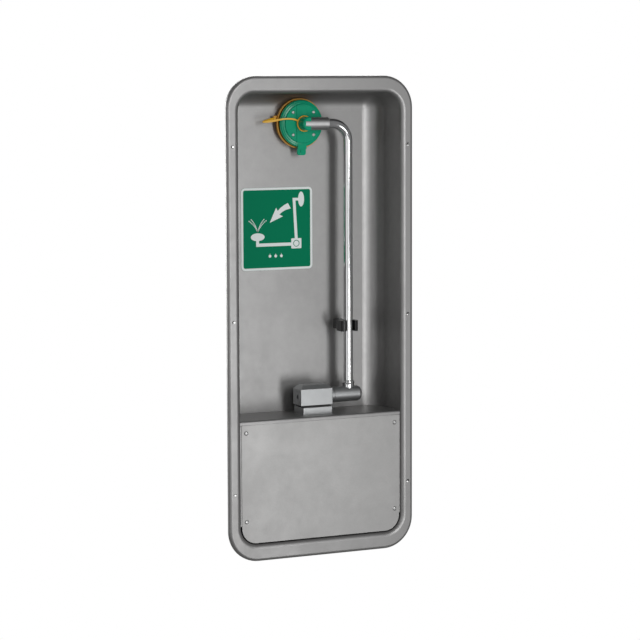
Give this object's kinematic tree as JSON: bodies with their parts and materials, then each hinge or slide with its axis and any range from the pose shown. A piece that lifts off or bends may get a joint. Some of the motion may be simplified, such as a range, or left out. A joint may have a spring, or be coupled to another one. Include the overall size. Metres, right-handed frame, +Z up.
{
  "type": "recessed eyewash station",
  "caption": "Recessed stainless eye and face wash cabinet with a swing-down tube arm, green spray head, ball valve, tethered dust cover and lower access panel.",
  "frame": {"origin": "centre of the wall flange, in its front face", "axes": "+Z up, +Y into the wall, +X to the right of a person who faces the station"},
  "size_m": [0.416, 0.1135, 0.98],
  "materials": {
    "stainless_sheet": "satin drawn stainless sheet",
    "satin_valve_metal": "satin plated metal",
    "polished_tube": "polished plating",
    "screw_steel": "plain steel",
    "pipe_brass": "plain machined brass",
    "sign_green": "printed vinyl film",
    "head_green": "moulded, half gloss",
    "strap_yellow": "soft moulded plastic",
    "clip_black": "glossy moulded plastic",
    "seat_white": "plain white polymer",
    "seal_rubber": "plain black rubber"
  },
  "bodies": {
    "cabinet": {"wall_flange": "stainless_sheet", "recess_left_wall": "stainless_sheet", "recess_right_wall": "stainless_sheet", "recess_back": "stainless_sheet", "recess_top": "stainless_sheet", "recess_floor": "stainless_sheet", "flange_spacers": "screw_steel", "valve_shelf": "stainless_sheet", "panel_bracket_left": "stainless_sheet", "panel_bracket_right": "stainless_sheet", "access_panel": "stainless_sheet", "panel_screws": "screw_steel", "panel_clip_nuts": "screw_steel", "instruction_sign": "sign_green", "tube_clip": "clip_black", "clip_stud": "screw_steel", "clip_nut": "screw_steel", "valve_base": "satin_valve_metal", "base_gasket": "seal_rubber", "valve_body": "satin_valve_metal", "valve_plug": "satin_valve_metal", "plug_seal": "seal_rubber", "inlet_seat": "seat_white", "thrust_washer": "seat_white", "stop_collar": "satin_valve_metal", "supply_nipple": "pipe_brass", "supply_lock_nut": "pipe_brass", "body_bolts": "screw_steel", "strainer_body": "pipe_brass", "strainer_screen": "screw_steel", "flow_regulator": "seal_rubber"},
    "arm": {"ball_stem": "pipe_brass", "stem_seals": "seal_rubber", "valve_nose": "satin_valve_metal", "nose_plug": "satin_valve_metal", "stop_pin": "screw_steel", "nose_set_screw": "screw_steel", "tube_ferrule": "polished_tube", "swing_tube": "polished_tube", "head_adapter": "satin_valve_metal", "head_back": "head_green", "head_screws": "screw_steel", "head_gasket": "seal_rubber", "head_bowl": "head_green", "flow_disc": "seat_white", "spray_plate": "head_green", "tether_strap": "strap_yellow"},
    "dust_cover": {"dust_cover": "strap_yellow", "cover_peg": "screw_steel"}
  },
  "joints": [
    {"name": "arm_swing", "type": "hinge", "parent": "cabinet", "child": "arm", "pos_m": [0, 0.057, -0.167], "axis": [1, 0, 0], "range_deg": [0, 90]},
    {"name": "dust_cover_hinge", "type": "hinge", "parent": "arm", "child": "dust_cover", "pos_m": [-0.0585, 0.101, 0.403], "axis": [0, 0, 1], "range_deg": [0, 110]}
  ],
  "couplings": [
    {"joint": "dust_cover_hinge", "follows": "arm_swing", "ratio": 1.2222}
  ]
}
